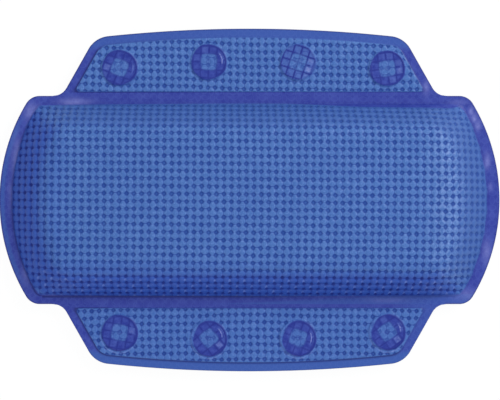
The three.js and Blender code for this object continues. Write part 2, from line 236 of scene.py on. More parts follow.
def sheet_grid(pocket_rows, pocket_columns):
    """Grid over the sheet between the flaps, from the rows and columns of its pocket: columns past the
    straight part are scaled to end on the seam, and a few more lead from there to the outline."""
    rows = np.concatenate([-to_ear[::-1], pocket_rows, to_ear])
    outer_share = np.clip((np.abs(pocket_columns) - straight_part) / (pocket_length - straight_part), 0, 1)
    seam_x = half_length(np.clip(rows, -pocket_width, pocket_width), pocket_ends)[:, None]
    inner_x = np.clip(pocket_columns, -straight_part, straight_part)[None, :]
    inner_x = inner_x + np.sign(pocket_columns) * outer_share * (seam_x - straight_part)
    outline_x = half_length(rows, outline_ends)[:, None]
    outer_x = seam_x + border_share * (outline_x - front_round - seam_x)
    outer_x = np.concatenate([outer_x, outline_x - round_steps], axis=1)
    x = np.concatenate([-outer_x[:, ::-1], inner_x, outer_x], axis=1)
    return x, np.repeat(rows[:, None], x.shape[1], axis=1)


def border_ripple(x, y):
    """Slight waves of the welded border, where the hot film has shrunk between cushion and edge."""
    return 0.10 * np.sin(0.29 * y + 0.8 * np.sin(0.11 * y)) + 0.07 * np.sin(0.17 * x + 0.21 * y)


def seam_distance(x, y):
    """Distance inside the pocket's seam, and distance outside it, each 0 on the other side."""
    toward = np.minimum(pocket_width - np.abs(y), half_length(y, pocket_ends) - np.abs(x))
    return np.maximum(toward, 0), np.maximum(-toward, 0)


def free_share(x, y):
    """1 along the free outline, and 0 along the ear line where a flap carries on."""
    return np.where(np.abs(y) > pocket_width, smooth(*root_end_zone, np.abs(x)), 1)


def normals_of(points):
    """Unit normals of a grid of points, from the cross product of its two directions."""
    normal = np.cross(np.gradient(points, axis=1), np.gradient(points, axis=0))
    return normal / np.linalg.norm(normal, axis=-1, keepdims=True)


# The film drops into a narrow groove beside the seam, and keeps its weave from a little inside it:
# further in towards the pocket's corners, along its upper right side, and in waves at its ends.
groove_place = 0.45
groove_depth = 0.18
grid_x, grid_y = sheet_grid(lattice_lines(1), lattice_lines(0))
reach_x, reach_y = np.abs(grid_x), np.abs(grid_y)
inside, outside = seam_distance(grid_x, grid_y)
border = smooth(0.0, 0.5, outside)
from_edge = edge_distance(grid_x, grid_y)
free_edge = free_share(grid_x, grid_y)
height = sheet_plane + front_thickness + front_rise(grid_x, grid_y)
height += border * free_edge * smooth(0.3, 2.5, from_edge) * border_ripple(grid_x, grid_y)
groove = (outside > 0) * smooth(0.9, 0.25, np.abs(outside - groove_place))
height -= groove_depth * groove * (0.3 + 0.7 * smooth(30.0, -30.0, grid_y))
height -= free_edge * rounded_edge(from_edge, front_round)
surface = np.stack([grid_x, grid_y, height], axis=-1)
slack = 0.2 + 1.5 * (grid_x / pocket_length) ** 2 * smooth(56.0, 59.0, reach_y)
slack += 2.1 * smooth(20.0, 80.0, grid_x) * smooth(140.0, 125.0, grid_x) * smooth(55.0, 57.5, grid_y)
slack += 0.5 * np.sin(0.23 * grid_y + 1.7 * np.sign(grid_x)) ** 2 * smooth(120, 130, reach_x)
embossed = smooth(slack - 0.2, slack + 1.0, inside)
cell_u, cell_v = weave_cells(grid_x, grid_y)
normal = normals_of(surface)
tilted = smooth(0.99, 0.74, normal[..., 2])
surface += (embossed * relief(cell_u, cell_v) * (1 + 0.4 * tilted))[..., None] * normal


def placed(name, data):
    """A new object with some data, linked into the scene."""
    made = bpy.data.objects.new(name, data)
    bpy.context.scene.collection.objects.link(made)
    return made


def mesh_piece(name, points, faces, flat_from, attributes, material):
    """A closed piece from points in millimetres. Faces from flat_from on are shaded flat, so that the
    film's cut edges stay sharp, and each attribute is one number per point."""
    mesh = bpy.data.meshes.new(name)
    mesh.from_pydata((points * millimetre).tolist(), [], faces)
    shading = np.ones(len(mesh.polygons), bool)
    shading[flat_from:] = False
    mesh.polygons.foreach_set("use_smooth", shading)
    for key, values in attributes.items():
        layer = mesh.attributes.new(key, "FLOAT", "POINT")
        padded = np.zeros(len(points), np.float32)
        padded[: values.size] = values.ravel()
        layer.data.foreach_set("value", padded)
    mesh.materials.append(material)
    mesh.update()
    return placed(name, mesh)


def numbered(shape, start=0):
    """A grid of point numbers in order from a start."""
    return start + np.arange(np.prod(shape)).reshape(shape)


def grid_quads(index):
    """Faces of a grid of point numbers."""
    return np.stack([index[:-1, :-1], index[:-1, 1:], index[1:, 1:], index[1:, :-1]], axis=-1).reshape(-1, 4)


def grid_ring(index):
    """The point numbers along the edge of a grid, once round."""
    return np.concatenate([index[0, :-1], index[:-1, -1], index[-1, :0:-1], index[:0:-1, 0]])


def loop_quads(first, second):
    """Faces between two loops of point numbers, of which the second lies outside or below the first."""
    return np.stack([first, second, np.roll(second, -1), np.roll(first, -1)], axis=-1)


def film_shell(outer, inner_height, every, up, bends=((), ())):
    """Points and faces of a film's closed shell. The outer grid keeps all its points. The inner face is
    a coarse grid below it, whose border cells take in every point along the edge. It also takes in the
    rows and columns in bends, along which the film bends too sharply for a coarse cell to span."""
    index = numbered(outer.shape[:2])
    last_y, last_x = index.shape[0] - 1, index.shape[1] - 1
    even = [np.linspace(0, count - 1, count // every + 1).round() for count in index.shape]
    at_y, at_x = [np.unique(np.concatenate(lines)).astype(int) for lines in zip(even, bends)]
    ring = grid_ring(index)
    wanted = np.unique(np.concatenate([ring, index[np.ix_(at_y, at_x)].ravel()]))
    below = np.zeros(index.size, int)
    below[wanted] = index.size + np.arange(len(wanted))
    flat = outer.reshape(-1, 3)
    inner = flat[wanted].copy()
    inner[:, 2] = inner_height(inner[:, 0], inner[:, 1])
    walls = loop_quads(ring, below[ring])
    below = below.reshape(index.shape)
    cells = []
    for y0, y1 in zip(at_y[:-1], at_y[1:]):
        for x0, x1 in zip(at_x[:-1], at_x[1:]):
            block = below[y0 : y1 + 1, x0 : x1 + 1]
            lines = (block[0], block[:, -1], block[-1], block[:, 0])
            on_rim = (y0 == 0, x1 == last_x, y1 == last_y, x0 == 0)
            low, right, top, left = [a if whole else a[[0, -1]] for a, whole in zip(lines, on_rim)]
            cells.append(np.concatenate([left[:-1], top[:-1], right[:0:-1], low[:0:-1]]).tolist())
    faces = grid_quads(index).tolist()
    every_face = faces + walls.tolist() + cells
    if not up:
        every_face = [face[::-1] for face in every_face]
    return np.concatenate([flat, inner]), every_face, len(faces)


def linear(red, green, blue):
    """A colour given in the eight bit steps of a screen, as the light it sends out."""
    share = np.array([red, green, blue]) / 255
    light = np.where(share <= 0.04045, share / 12.92, ((share + 0.055) / 1.055) ** 2.4)
    return (*light.tolist(), 1.0)


class Nodes:
    """A node tree under construction. Values that are sockets are linked, others are written in."""

    def __init__(self, tree):
        self.tree = tree

    def node(self, kind, values=None, **settings):
        made = self.tree.nodes.new(kind)
        for key, value in settings.items():
            setattr(made, key, value)
        self.fill(made, values or {})
        return made

    def fill(self, node, values):
        for key, value in values.items():
            if isinstance(value, bpy.types.NodeSocket):
                self.tree.links.new(value, node.inputs[key])
            else:
                node.inputs[key].default_value = value

    def math(self, operation, first, second=0.0, clamp=False):
        values = {0: first, 1: second}
        return self.node("ShaderNodeMath", values, operation=operation, use_clamp=clamp).outputs[0]

    def times(self, first, *others):
        """The product of some numbers."""
        for other in others:
            first = self.math("MULTIPLY", first, other)
        return first


class Recipe(Nodes):
    """A material's nodes, ending in one Principled shader."""

    def __init__(self, name):
        self.material = bpy.data.materials.new(name)
        self.material.use_nodes = True
        super().__init__(self.material.node_tree)
        self.place = self.node("ShaderNodeTexCoord").outputs["Object"]

    def mask(self, name):
        """A number that each point of the mesh carries."""
        return self.node("ShaderNodeAttribute", attribute_name=name).outputs["Fac"]

    def rest(self, share):
        """What a share leaves of the whole."""
        return self.math("SUBTRACT", 1.0, share)

    def lay(self, under, over, *shares):
        """One colour laid over another by the product of some shares."""
        mix = self.node("ShaderNodeMix", data_type="RGBA")
        under, over = [linear(*c) if isinstance(c, tuple) else c for c in (under, over)]
        self.fill(mix, {0: self.times(*shares), 6: under, 7: over})
        return mix.outputs[2]

    def blend(self, share, first, second):
        """One number turned into another by a share."""
        return self.node("ShaderNodeMix", {0: share, 2: first, 3: second}).outputs[0]

    def chance(self, across, up):
        """A random number from 0 to 1 for each pair of whole numbers."""
        pair = self.node("ShaderNodeCombineXYZ", {"X": across, "Y": up}).outputs[0]
        return self.node("ShaderNodeTexWhiteNoise", {"Vector": pair}, noise_dimensions="2D").outputs["Value"]

    def oval(self, across, up, length, width):
        """The squares of two distances, each over its half size, added up: 1 along the oval's rim."""
        parts = [self.times(across, 1 / length), self.times(up, 1 / width)]
        return self.math("ADD", *[self.math("POWER", self.math("ABSOLUTE", part), 2) for part in parts])

    def noise(self, scale, detail=2.0, rough=0.5, stretch=(1, 1, 1)):
        """Soft noise that is fixed to the pillow."""
        where = self.node("ShaderNodeMapping", {"Vector": self.place, "Scale": stretch}).outputs[0]
        values = {"Vector": where, "Scale": scale, "Detail": detail, "Roughness": rough}
        return self.node("ShaderNodeTexNoise", values).outputs["Fac"]

    def ramp(self, value, low, high, first=0.0, second=1.0):
        """A number carried evenly from one range to another, and held at both ends."""
        values = {"Value": value, "From Min": low, "From Max": high, "To Min": first, "To Max": second}
        return self.node("ShaderNodeMapRange", values, clamp=True).outputs[0]

    def bump(self, height, distance, strength, below=None):
        """Small relief for the light alone, over a lower one if there is one."""
        values = {"Height": height, "Distance": distance, "Strength": strength}
        if below is not None:
            values["Normal"] = below
        return self.node("ShaderNodeBump", values).outputs[0]

    def ended(self, colour, rough, shape, others):
        """The material, once these have gone into its shader."""
        values = {"Base Color": colour, "Roughness": rough, "Normal": shape, **others}
        self.fill(self.tree.nodes["Principled BSDF"], values)
        return self.material


def embossed_vinyl():
    """Soft blue film. The weave is worked out again from the cell coordinates, finer than the mesh: deep
    blue pits of painted shade, with a lighter knob painted as if it caught the light; mid blue strands with
    a painted highlight along their rim; painted shade in the valleys between them and along the low side of
    every lying strand; and fine pale specks of painted highlight. On the walls that fall away from the lamp,
    at their foot, on the low lines of the crown and at the left end it is painted a deeper blue in shade,
    where its pits also grow a little, with a painted glint under every second pit of the near wall, and a
    little of that shade lies on the lower flap. The walls open to the lamp are painted greyer, with fainter
    pits, as if lit. Along the crest at the right a pale sheen is painted on the strands. Where it is welded
    it is violet with a faint trace of the weave, bluer along some edges, with patches of painted pale glare.
    Over the cups it clings dark, with paler air in squares and a painted highlight in an arc inside some
    rims. Folds, grooves and edges are painted dark in shade."""
    made = Recipe("embossed_vinyl")
    cells = []
    for name, scale, stretch in (("cell_u", 170, (1, 1, 1)), ("cell_v", 190, (1, 1, 2))):
        stray = made.math("SUBTRACT", made.noise(scale, 1, 0.5, stretch), 0.5)
        cells.append(made.math("ADD", made.mask(name), made.times(stray, 0.16)))
    parts = [made.math("POWER", made.math("PINGPONG", cell, 0.5), diamond_power) for cell in cells]
    away = made.math("POWER", made.math("ADD", *parts), 1 / diamond_power)
    # Painted deep shade also widens the pits a little.
    steep = made.mask("steep")
    away = made.math("ADD", away, made.times(steep, 0.1))
    nearest = [made.math("ROUND", cell) for cell in cells]
    luck = made.chance(*nearest)
    pit = made.times(made.ramp(away, 0.43, 0.25), made.ramp(luck, 0.0, 1.0, 0.86, 1.0))
    knob = made.times(made.ramp(away, 0.21, 0.05), made.ramp(luck, 0.0, 1.0, 1.0, 0.45))
    corner = [made.math("FLOOR", cell) for cell in cells]
    odd = made.math("FLOORED_MODULO", made.math("ADD", *corner), 2)
    across, up = [made.math("SUBTRACT", made.math("FRACT", cell), 0.5) for cell in cells]
    lying = made.oval(across, made.math("SUBTRACT", up, lying_lift), *lying_size)
    from_middle = made.blend(odd, lying, made.oval(up, across, *upright_size))
    strand = made.ramp(from_middle, 1.15, 0.75)
    # Painted highlight along the rim of each strand.
    rim = made.ramp(made.math("ABSOLUTE", made.math("SUBTRACT", from_middle, 0.78)), 0.3, 0.0)
    patches = made.ramp(made.noise(45, 3), 0.35, 0.65)
    cloud = made.noise(420, 4, 0.6)
    raised = made.lay((70, 109, 177), (78, 117, 184), patches)
    raised = made.lay(raised, (62, 102, 172), made.chance(*corner), 0.4)
    # Painted shade in the valleys, with the strands laid lighter.
    net = made.lay((60, 95, 168), raised, strand)
    net = made.lay(net, (98, 132, 199), rim, 0.45)
    net = made.lay(net, (50, 94, 166), made.ramp(cloud, 0.42, 0.7), 0.4)
    # Painted highlights: fine pale specks over the weave.
    net = made.lay(net, (104, 138, 204), made.ramp(made.noise(800, 2, 0.6), 0.52, 0.7), 0.55)
    # Painted sheen: pale strands along the crest at the right, where the surface turns to the lamp.
    ridge = made.times(made.mask("ridge"), made.ramp(cloud, 0.35, 0.6, 0.6, 0.05))
    net = made.lay(net, (124, 154, 212), ridge, made.ramp(strand, 0, 1, 0.5, 1.0))
    # Painted shade along the low side of every lying strand.
    shade_under_strand = made.times(made.ramp(up, -0.26, -0.44), made.ramp(made.math("ABSOLUTE", across), 0.5, 0.2))
    net = made.lay(net, (30, 68, 148), shade_under_strand, made.rest(odd), 0.45)
    # Painted shade: a deeper blue where the deep shade lies, on walls that fall away from the lamp and on
    # low parts of the crown.
    net = made.lay(net, made.lay((30, 62, 160), (44, 80, 176), strand), steep, 0.85)
    # Painted glint: a light spot under every second pit of the near wall.
    beside = made.math("ADD", made.math("SUBTRACT", cells[0], nearest[0]), 0.12)
    every_second = made.rest(made.math("FLOORED_MODULO", made.math("ADD", nearest[0], corner[1]), 2))
    wall_glint = made.times(made.ramp(made.oval(beside, up, 0.2, 0.24), 1.2, 0.3), every_second)
    net = made.lay(net, (104, 130, 206), wall_glint, made.mask("low_wall"), made.ramp(luck, 0.0, 1.0, 0.35, 0.8))
    # Painted light: walls open to the lamp are laid greyer, and their pits fainter, as if lit.
    open_side = made.mask("open_side")
    net = made.lay(net, (64, 98, 168), open_side, 0.8)
    # Painted shade in the pits, lighter on the knob in their middle as if it caught the light, and deeper
    # under the deep shade.
    hollow = made.lay((20, 57, 137), (50, 87, 160), knob)
    hollow = made.lay(hollow, made.lay((10, 29, 114), (26, 47, 136), patches), steep)
    held = made.mask("weave")
    seen = made.times(made.ramp(held, 0.1, 0.8, 0.35, 0.92), made.ramp(open_side, 0, 1, 1.0, 0.75))
    net = made.lay(net, hollow, pit, seen)
    pale = made.mask("pale")
    violet = made.lay((46, 59, 151), (60, 75, 163), made.ramp(made.noise(160, 3, 0.6), 0.35, 0.7))
    violet = made.lay(violet, (54, 88, 166), pale)
    violet = made.lay(violet, (34, 48, 142), pit, made.math("SUBTRACT", 0.4, made.times(pale, 0.4), True))
    violet = made.lay(violet, (88, 116, 190), rim, 0.2)
    # Painted glare: pale patches on the welded border.
    glare = made.ramp(made.noise(300, 4, 0.65), 0.3, 0.65, 0.4)
    violet = made.lay(violet, (122, 129, 198), made.mask("haze"), glare)
    colour = made.lay(violet, net, made.math("MAXIMUM", held, made.rest(made.mask("weld"))))
    clings = made.lay((28, 40, 138), (54, 70, 160), made.ramp(made.noise(330, 4, 0.65), 0.38, 0.64))
    colour = made.lay(colour, clings, made.mask("bond"), made.rest(held))
    colour = made.lay(colour, (26, 40, 130), made.mask("rib"))
    # Pale air in squares over the cups, together with the painted highlight arcs inside their rims.
    air_and_glint = made.times(made.mask("air_and_glint"), made.ramp(made.noise(600, 3, 0.6), 0.35, 0.6, 0.6, 1.0))
    colour = made.lay(colour, made.lay((92, 118, 192), (168, 176, 232), made.ramp(air_and_glint, 0.3, 0.9)), air_and_glint)
    # Painted shade in grooves and along edges.
    colour = made.lay(colour, (16, 26, 100), made.mask("crease"))
    rough = made.ramp(made.noise(260, 3, 0.6), 0.3, 0.7, 0.36, 0.48)
    rough = made.math("ADD", rough, made.times(pit, held, 0.2))
    shape = made.bump(made.noise(1500, 2, 0.6), 0.00004, 0.5)
    shape = made.bump(made.noise(210, 2), 0.00025, 0.35, shape)
    return made.ended(colour, rough, shape, {"IOR": 1.5, "Specular IOR Level": 0.2})


front_vinyl = embossed_vinyl()
on_seam = inside + outside < 0.001
seam_lines = [np.flatnonzero(on_seam[:, on_seam.shape[1] // 2]), np.flatnonzero(on_seam[len(on_seam) // 2])]
shell = film_shell(
    surface, lambda a, b: sheet_plane + front_rise(a, b, front_thickness), per_cell, True, seam_lines
)
# Patches of pale glare painted on the welded border: place, reach along X and Y, and how strong.
glare_patches = np.array([
    [-139.0, 56.0, 5.0, 5.0, 0.85], [-148.5, 24.0, 3.2, 14.0, 0.85], [-152.5, 4.0, 2.5, 9.0, 0.35],
    [-143.0, -47.0, 3.0, 7.0, 0.45], [-112.0, 62.5, 10.0, 2.6, 0.8], [141.8, 56.5, 1.6, 3.2, 0.9],
    [143.8, 52.5, 1.8, 3.4, 1.0], [146.0, 48.0, 2.0, 3.6, 0.8], [113.0, 72.0, 1.8, 4.5, 0.7],
    [154.0, 8.5, 1.4, 2.6, 0.5], [-128.0, 70.0, 6.0, 3.0, 0.4], [151.9, 24.9, 1.9, 4.6, 0.85],
    [151.5, -33.0, 2.6, 7.0, 0.7], [139.0, -60.5, 8.0, 4.0, 0.45], [134.0, 62.5, 6.0, 1.6, 0.4],
    [88.0, -64.0, 12.0, 1.8, 0.3],
])


def glare_share(x, y):
    """How strong the painted glare on the border is: soft round patches, of which the strongest counts."""
    patches = [
        glare * np.exp(-(((x - px) / rx) ** 2) - ((y - py) / ry) ** 2)
        for px, py, rx, ry, glare in glare_patches
    ]
    return np.maximum.reduce(patches)


# Where the look changes by place, mostly painted light. The lamp stands up on the right, so walls that fall
# the other way are painted deep in shade, darkest at the foot, and those that face it are painted greyer as
# if lit. The low lines of the crown and the left end are painted in deeper shade too, a glint is painted on
# the near wall, and a sheen along the crest at the right.
outer_stripe = smooth(4.2, 2.6, from_edge) * smooth(0.5, 1.2, from_edge) * smooth(58.0, 42.0, reach_y)
past_fold = outside - 4.1 + 0.05 * grid_x
foot = smooth(1.0, 0.4, outside) * smooth(0.7, 0.1, inside)
foot_shade = 0.16 + 0.38 * smooth(40.0, -40.0, grid_y) * smooth(-60.0, 20.0, -grid_x)
foot_shade += 0.2 * (grid_y < -55) * smooth(70.0, 0.0, grid_x)
normal_x, normal_y, upward = np.moveaxis(normal, -1, 0)
sideways = np.maximum(np.hypot(normal_x, normal_y), 0.01)
shaded_way = -(0.8 * normal_x + 0.6 * normal_y) / sideways
nearer_long_seam = pocket_width - reach_y < half_length(grid_y, pocket_ends) - reach_x
dark_foot = (outside < 0.05) * smooth(2.2, 1.0, inside) * np.where(nearer_long_seam, grid_y < 0, grid_x < 0)
# Painted shade along the low lines of the crown and at the left end.
low_crown_shade = (0.2 + 0.32 * smooth(60.0, -120.0, grid_x)) * smooth(-34.0, -46.0, grid_y)
left_end_shade = 0.22 * smooth(-112.0, -122.0, grid_x)
# Walls open to the lamp, where painted light is laid.
lamp_side_share = smooth(0.93, 0.72, upward) * smooth(0.0, -0.6, shaded_way) * (inside > 0)
masks = {
    "cell_u": cell_u,
    "cell_v": cell_v,
    "weave": embossed,
    "weld": np.maximum(border, smooth(slack, slack - 0.4, inside)),
    # Painted shade: walls that fall away from the lamp, their foot, the left end and the low crown.
    "steep": np.maximum.reduce([
        tilted * (0.06 + 0.94 * smooth(-0.4, 0.5, shaded_way)), dark_foot, left_end_shade, low_crown_shade
    ]),
    # Where glints are painted: walls that face the near side.
    "low_wall": smooth(0.9, 0.7, upward) * smooth(0.3, 0.8, -normal_y / sideways),
    # Where the sheen on the right crest is painted.
    "ridge": smooth(104.0, 126.0, grid_x) * smooth(141.0, 131.0, grid_x) * smooth(62.0, 44.0, reach_y),
    "open_side": lamp_side_share * (1 - dark_foot),
    "pale": 0.75 * outer_stripe * (grid_x < 0) + 0.6 * (grid_y < -60) * smooth(-1.0, 1.0, past_fold),
    "haze": glare_share(grid_x, grid_y),
    # Painted shade at the foot of the walls and along the free edge.
    "crease": foot_shade * foot + 0.15 * dark_foot + 0.6 * smooth(0.8, 0.2, from_edge) * free_edge,
}
front_skin = mesh_piece("cushion_front_skin", *shell, masks, front_vinyl)
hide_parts("cushion_front_cover")
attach(front_skin, "cushion")

# Front films of the flaps
# The same sheet carries on past each long seam as a flap. A border is welded smooth all round it,
# and inside it a panel keeps the weave and stands a little proud. The film is drawn over the flange
# of each suction cup, clings to its rim and ribs and leaves air between them.

flap_slope = np.radians(29.5)
root_half_length = 120.0
root_fillet = 10.0
panel_fillet = 2.0
corner_radius = 16.0
crown_radius = 860.0
flap_half_width = 109.614
panel_root = 69.3
panel_border = 6.0
panel_relief = 0.3
cup_edge_distance = 21.0
cup_x = np.array([-83.0, -26.0, 31.0, 88.0])
cup_y = flap_half_width - (crown_radius - np.sqrt(crown_radius**2 - cup_x**2)) - cup_edge_distance
# The outer corner's arc touches the sloping side and the crown's arc.
side_normal = np.array([np.cos(flap_slope), np.sin(flap_slope)])
side_along = np.array([-side_normal[1], side_normal[0]])
corner_start = np.array([root_half_length, ear_line]) - corner_radius * side_normal
crown_centre = np.array([0.0, flap_half_width - crown_radius])
from_crown = corner_start - crown_centre
middle = from_crown @ side_along
travel = np.sqrt(middle**2 - np.sum(from_crown**2) + (crown_radius - corner_radius) ** 2)
corner_centre = corner_start + (travel - middle) * side_along
crown_angle = np.arctan2(*(corner_centre - crown_centre)[::-1])


def on_circle(centre, radius, angle):
    """The points of a circle at some angles."""
    return np.stack([centre[0] + radius * np.cos(angle), centre[1] + radius * np.sin(angle)], axis=-1)


def arc_points(centre, radius, start, end, count=40):
    return on_circle(centre, radius, np.linspace(start, end, count))


def once_round(count):
    """Even angles round a full circle."""
    return np.arange(count) / count * 2 * np.pi


def spread(line, count):
    """The same line with count even steps along its length."""
    steps = np.concatenate([[0], np.cumsum(np.linalg.norm(np.diff(line, axis=0), axis=1))])
    at = np.linspace(0, steps[-1], count + 1)
    return np.stack([np.interp(at, steps, line[:, 0]), np.interp(at, steps, line[:, 1])], axis=-1)


def flap_sides(border, long_count, short_count):
    """The flap's outline, moved in by a border, as four matched sides: root, right, crown and left.
    The outer corners are shared half and half by the crown and the sides."""
    half_corner = (flap_slope + crown_angle) / 2
    radius = corner_radius - border
    crown = arc_points(crown_centre, crown_radius - border, crown_angle, np.pi / 2, 80)
    upper = arc_points(corner_centre, radius, half_corner, crown_angle, 20)
    lower = arc_points(corner_centre, radius, flap_slope, half_corner, 20)
    if border == 0:
        fillet_x = root_half_length + root_fillet * (1 - side_normal[1]) / side_normal[0]
        root_end = (fillet_x, ear_line)
        turn = arc_points((fillet_x, ear_line + root_fillet), root_fillet, -np.pi / 2, flap_slope - np.pi)
    else:
        point = np.array([root_half_length, ear_line]) - border * side_normal
        root_x = point[0] - (panel_root - point[1]) * side_normal[1] / side_normal[0]
        fillet_x = root_x - panel_fillet / np.tan((np.pi / 2 - flap_slope) / 2)
        root_end = (fillet_x, panel_root)
        turn = arc_points((fillet_x, panel_root + panel_fillet), panel_fillet, -np.pi / 2, flap_slope, 20)
    root = np.array([root_end, (0.0, root_end[1]), root_end]) * [[-1, 1], [1, 1], [1, 1]]
    top = np.concatenate([upper, crown[1:]])
    right = spread(np.concatenate([turn, lower]), short_count)
    return {
        "root": spread(root, long_count),
        "right": right,
        "crown": spread(np.concatenate([top * [-1, 1], top[-2::-1]]), long_count),
        "left": right * [-1, 1],
    }


def filled_sides(sides):
    """Grid between four sides: the sum of the two straight blends between opposite sides, less the
    blend between the four corners."""
    root, crown = sides["root"][None, :], sides["crown"][None, :]
    left, right = sides["left"][:, None], sides["right"][:, None]
    s = np.linspace(0, 1, root.shape[1])[None, :, None]
    t = np.linspace(0, 1, left.shape[0])[:, None, None]
    corners = (1 - s) * (1 - t) * root[:, :1] + s * (1 - t) * root[:, -1:]
    corners = corners + (1 - s) * t * crown[:, :1] + s * t * crown[:, -1:]
    return (1 - t) * root + t * crown + (1 - s) * left + s * right - corners


def loop_of(sides):
    """The four sides as one closed loop, once round against the clock from the left end of the root."""
    right = sides["right"][:-1]
    return np.concatenate([sides["root"][:-1], right, sides["crown"][:0:-1], sides["left"][:0:-1]])


def ring_loops(panel_loop, edge_loop, shares):
    """Loops between the panel and the flap's edge, each a share of the way out, one after the other."""
    shares = shares[:, None, None]
    return (1 - shares) * panel_loop[None] + shares * edge_loop[None]


def free_steps(long_count, short_count, reach):
    """Round a flap's loop: 0 along the root, 1 along the crown, and a rise over some steps at both sides."""
    step = np.arange(short_count)
    rise, fall = smooth(0, reach, step), smooth(short_count, short_count - reach, step)
    return np.concatenate([np.zeros(long_count), rise, np.ones(long_count), fall])


def cup_circles(side, radius, count):
    """Circles round a flap's four cups, placed as on the upper flap."""
    return [on_circle((side * a, b), radius, once_round(count)) for a, b in zip(cup_x, cup_y)]


def strips(loops):
    """Faces between loops of point numbers that follow one another outwards."""
    return np.concatenate([loop_quads(a, b) for a, b in zip(loops[:-1], loops[1:])])


def fill_with_holes(loop, loop_ids, holes, hole_ids):
    """Triangles that fill a loop round some round holes, as point numbers, facing up."""
    ids = np.concatenate([loop_ids, *hole_ids])
    edges = []
    for part in [loop, *holes]:
        here = len(edges) + np.arange(len(part))
        edges += np.stack([here, np.roll(here, -1)], axis=-1).tolist()
    found = delaunay_2d_cdt(np.concatenate([loop, *holes]).tolist(), edges, [], 1, 1e-6)
    triangles = np.array(found[2])
    origin = np.array([numbers[0] for numbers in found[3]])
    centre = np.array([tuple(v) for v in found[0]])[triangles].mean(axis=1)
    keep = np.ones(len(triangles), bool)
    for hole in holes:
        hole_centre = hole.mean(axis=0)
        radius = np.linalg.norm(hole[0] - hole_centre)
        keep &= np.linalg.norm(centre - hole_centre, axis=1) > radius * 0.999
    return ids[origin[triangles[keep]]]


flange_radius = 11.25
rib_pitch = 5.1
blister_foot = 12.3
flap_pitch = (4.612, 4.74)
flap_phase = {1: (1.15, 81.2), -1: (0.45, -87.3)}
# How far the rows of each flap have slipped as it was welded, in parts of a cell from left to right.
slip_places = np.linspace(-100, 100, 6)
row_slip = {1: [0.45, 0.13, 0.06, -0.13, -0.28, -0.34], -1: [-0.47, -0.37, -0.2, -0.2, -0.12, -0.5]}

# Each cup from left to right: its turn in degrees, how clearly its ribs show, where the light catches the
# film inside its rim as an angle, a half width in degrees and a strength, and the squares with air in them
# as column, row and how pale.
cup_marks = {
    1: [
        (-21, 0.85, (-5, 28, 0.6), [(-2, -1, 0.45), (-2, -2, 0.35), (0, 0, 0.12)]),
        (-2, 0.85, (15, 34, 1.0), [(-1, 1, 0.3), (0, 1, 0.1), (-2, 0, 0.12)]),
        (-18, 1.0, (-20, 25, 0.3), [
            (1, 0, 0.5), (1, -1, 0.6), (1, -2, 0.45), (-2, -1, 0.12), (-2, 0, 0.15), (-1, 1, 0.15),
            (0, 1, 0.12), (-2, 1, 0.2), (-1, -2, 0.15), (0, -2, 0.2), (-2, -2, 0.1), (1, 1, 0.15),
        ]),
        (8, 0.85, (10, 45, 0.35), [(1, 0, 0.35), (1, -1, 0.45), (0, -2, 0.35), (-1, 1, 0.15), (0, 1, 0.25)]),
    ],
    -1: [
        (-10, 0.85, (10, 30, 0.25), [
            (-1, 0, 0.25), (1, 0, 0.4), (-2, 0, 0.12), (-1, -2, 0.12), (-2, 1, 0.1),
        ]),
        (39, 0.85, (25, 30, 1.0), [(0, -2, 0.5), (-2, 0, 0.15), (1, -2, 0.2)]),
        (-20, 0.75, (0, 34, 0.95), [(-1, 1, 0.1), (-2, 0, 0.1)]),
        (35, 0.8, (20, 28, 1.0), [(0, -2, 0.5), (0, 1, 0.2)]),
    ],
}


def rib_distance(a, b):
    """Distance from the nearest of the ribs that cross a flange both ways at an even pitch."""
    return np.minimum(*[np.abs(q / rib_pitch - np.round(q / rib_pitch)) * rib_pitch for q in (a, b)])


